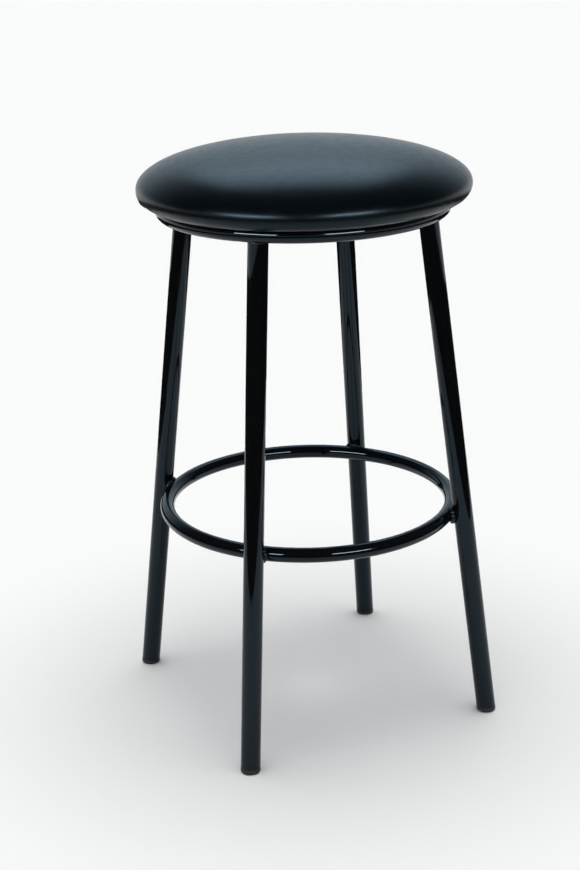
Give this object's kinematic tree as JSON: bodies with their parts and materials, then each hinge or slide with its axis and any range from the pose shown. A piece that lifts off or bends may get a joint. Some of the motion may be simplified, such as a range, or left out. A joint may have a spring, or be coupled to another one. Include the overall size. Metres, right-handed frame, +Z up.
{
  "type": "bar stool",
  "caption": "Backless bar stool: round padded vinyl seat on a tube hoop, straight splayed tube legs, foot ring and plastic glides.",
  "frame": {"origin": "on the floor, below the centre of the seat", "axes": "+Z up along the seat's axis, +X towards the right leg, -Y towards the front leg"},
  "size_m": [0.5216, 0.5216, 0.762],
  "materials": {
    "black_vinyl": "satin",
    "seat_foam": "matte",
    "plywood": "raw",
    "dust_cloth": "matte",
    "zinc_steel": "zinc plated",
    "black_paint": "gloss",
    "glide_plastic": "satin"
  },
  "bodies": {
    "root": {"back_glide": "glide_plastic", "back_left_lug": "black_paint", "back_leg": "black_paint", "back_right_lug": "black_paint", "dust_cover": "dust_cloth", "foot_ring": "black_paint", "foot_ring_welds": "black_paint", "front_glide": "glide_plastic", "front_left_lug": "black_paint", "front_leg": "black_paint", "front_right_lug": "black_paint", "left_glide": "glide_plastic", "left_leg": "black_paint", "leg_top_welds": "black_paint", "lug_welds": "black_paint", "right_glide": "glide_plastic", "right_leg": "black_paint", "seat_board": "plywood", "seat_bolts": "zinc_steel", "seat_cover": "black_vinyl", "seat_foam": "seat_foam", "seat_hoop": "black_paint", "seat_washers": "zinc_steel", "tee_nuts": "zinc_steel"}
  },
  "joints": []
}
